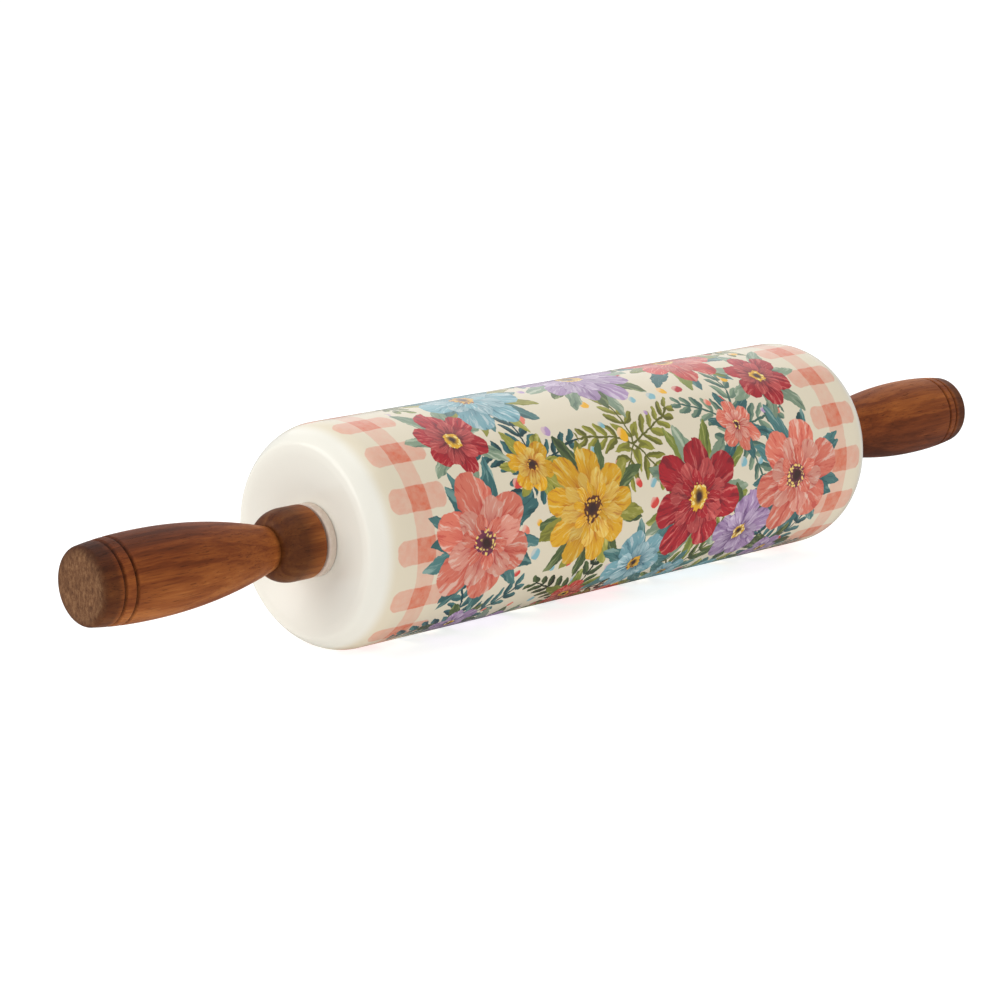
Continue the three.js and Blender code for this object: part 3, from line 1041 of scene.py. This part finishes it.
barrel = turned_piece("glazed_barrel", barrel_outline(), BARREL_SIDES, closed=True)
dress(barrel, "ceramic_barrel", ROLLER, glaze)
rod = turned_piece("steel_rod", rod_outline(), ROD_SIDES)
screw = {"Lead": 1.0, "Crown": 1.0, "Start": 0.0}
rod_screw = {"Crest": THREAD_RADIUS, "Pitch": THREAD_PITCH, "Depth": THREAD_DEPTH, **screw}
insert_screw = {"Crest": INSERT_RADIUS, "Pitch": INSERT_PITCH, "Depth": INSERT_THREAD, **screw}
rib_step = 2 * (seal_high.x - seal_low.x) / (2 * SEAL_RIBS - 1)
seal_ribs = {"Crest": SEAL_RADIUS, "Pitch": rib_step, "Depth": SEAL_RIB_DEPTH, "Lead": 0.0, "Crown": 3.0}
cut_ridges(rod, ridges, steel, rod_screw)
dress(rod, "axle_rod", ROOT, steel)

for end, facing, sign in (("left", mirrored, -1), ("right", list, 1)):
    handle = turned_piece(f"{end}_turned_handle", facing(handle_outline()), HANDLE_SIDES)
    add_attribute(handle, "end_grain", end_grain_share)
    # This share holds painted shade on the collar and neck as well as the darker grooves and the butt's
    # darker edge
    add_attribute(handle, "shade_and_stain", shade_and_stain_share)
    dress(handle, f"{end}_handle", ROOT, wood)
    bush = turned_piece(f"{end}_nylon_bush", facing(bush_outline()), BUSH_SIDES, closed=True)
    dress(bush, f"{end}_end_bush", ROLLER, nylon)
    seal = turned_piece(f"{end}_ribbed_seal", facing(seal_outline()), SEAL_SIDES, closed=True)
    valley = sign * (seal_low.x - rib_step / 4)
    cut_ridges(seal, ridges, silicone, {"Start": valley, **seal_ribs})
    dress(seal, f"{end}_bush_seal", ROLLER, silicone)
    washer = turned_piece(f"{end}_steel_washer", facing(washer_outline()), WASHER_SIDES, closed=True)
    dress(washer, f"{end}_thrust_washer", ROOT, steel)
    insert = turned_piece(f"{end}_brass_insert", facing(insert_outline()), INSERT_SIDES, closed=True)
    cut_ridges(insert, ridges, brass, insert_screw)
    dress(insert, f"{end}_threaded_insert", ROOT, brass)


# Floor, light and camera

FLOOR_GREY = 0.5
FLOOR_GLOW_SEEN = 0.78
FLOOR_GLOW_BOUNCED = 0.63
CAMERA_AZIMUTH = -44.0
CAMERA_ELEVATION = 12.37
CAMERA_DISTANCE = 1.075
CAMERA_LENS_SHARE = 3.012
CAMERA_TARGET = Vector((-35.0 * MM, 0, AXIS_HEIGHT + 0.2 * MM))


def floor_material():
    """A matt floor whose glow keeps it pale to the camera and to the light that it throws back."""
    material = bpy.data.materials.new("pale_floor")
    material.use_nodes = True
    g = Graph(material.node_tree)
    nodes = material.node_tree.nodes
    nodes.remove(nodes["Principled BSDF"])
    matte = g.node("ShaderNodeBsdfDiffuse")
    matte.inputs["Color"].default_value = (FLOOR_GREY, FLOOR_GREY, FLOOR_GREY, 1)
    path = g.node("ShaderNodeLightPath").outputs
    glow = g.node("ShaderNodeEmission")
    seen = g.times(path["Is Camera Ray"], FLOOR_GLOW_SEEN)
    bounced = g.times(path["Is Diffuse Ray"], FLOOR_GLOW_BOUNCED)
    g.feed(glow.inputs["Strength"], g.add(seen, bounced))
    both = g.node("ShaderNodeAddShader")
    g.feed(both.inputs[0], matte.outputs[0])
    g.feed(both.inputs[1], glow.outputs[0])
    g.feed(nodes["Material Output"].inputs["Surface"], both.outputs[0])
    return material


def make_floor(size):
    half = size / 2
    mesh = bpy.data.meshes.new("floor")
    corners = [(-half, -half, 0), (half, -half, 0), (half, half, 0), (-half, half, 0)]
    mesh.from_pydata(corners, [], [(0, 1, 2, 3)])
    mesh.materials.append(floor_material())
    floor = bpy.data.objects.new("floor", mesh)
    bpy.context.scene.collection.objects.link(floor)


def make_world(strength):
    """White all round: plain to the camera, and of the given strength as light."""
    world = bpy.data.worlds.new("studio")
    bpy.context.scene.world = world
    world.use_nodes = True
    g = Graph(world.node_tree)
    path = g.node("ShaderNodeLightPath").outputs
    background = world.node_tree.nodes["Background"]
    background.inputs["Color"].default_value = (1, 1, 1, 1)
    g.feed(background.inputs["Strength"], g.span(path["Is Camera Ray"], 0.0, 1.0, strength, 1.0))


def direction(azimuth, elevation):
    """Unit vector from the object towards a place seen at an azimuth and elevation, in degrees."""
    a, e = math.radians(azimuth), math.radians(elevation)
    return Vector((math.sin(a) * math.cos(e), -math.cos(a) * math.cos(e), math.sin(e)))


def softbox(name, azimuth, elevation, distance, size, power):
    light = bpy.data.lights.new(name, "AREA")
    light.shape = "DISK"
    light.size = size
    light.energy = power
    lamp = bpy.data.objects.new(name, light)
    away = direction(azimuth, elevation)
    lamp.location = Vector((0, 0, AXIS_HEIGHT)) + away * distance
    lamp.rotation_euler = away.to_track_quat("Z", "Y").to_euler()
    bpy.context.scene.collection.objects.link(lamp)


def make_camera():
    data = bpy.data.cameras.new("camera")
    data.sensor_fit = "HORIZONTAL"
    data.lens = CAMERA_LENS_SHARE * data.sensor_width
    camera = bpy.data.objects.new("camera", data)
    away = direction(CAMERA_AZIMUTH, CAMERA_ELEVATION)
    camera.location = CAMERA_TARGET + away * CAMERA_DISTANCE
    camera.rotation_euler = away.to_track_quat("Z", "Y").to_euler()
    bpy.context.scene.collection.objects.link(camera)
    bpy.context.scene.camera = camera


make_floor(size=12.0)
make_world(strength=0.56)
softbox("key", azimuth=-116, elevation=26, distance=2.0, size=2.0, power=17.5)
softbox("top", azimuth=0, elevation=85, distance=1.5, size=1.2, power=4)
softbox("fill", azimuth=-10, elevation=20, distance=1.8, size=1.5, power=3.2)
softbox("back", azimuth=136, elevation=40, distance=1.8, size=2.4, power=7.5)
make_camera()
bpy.context.scene.view_settings.view_transform = "Standard"
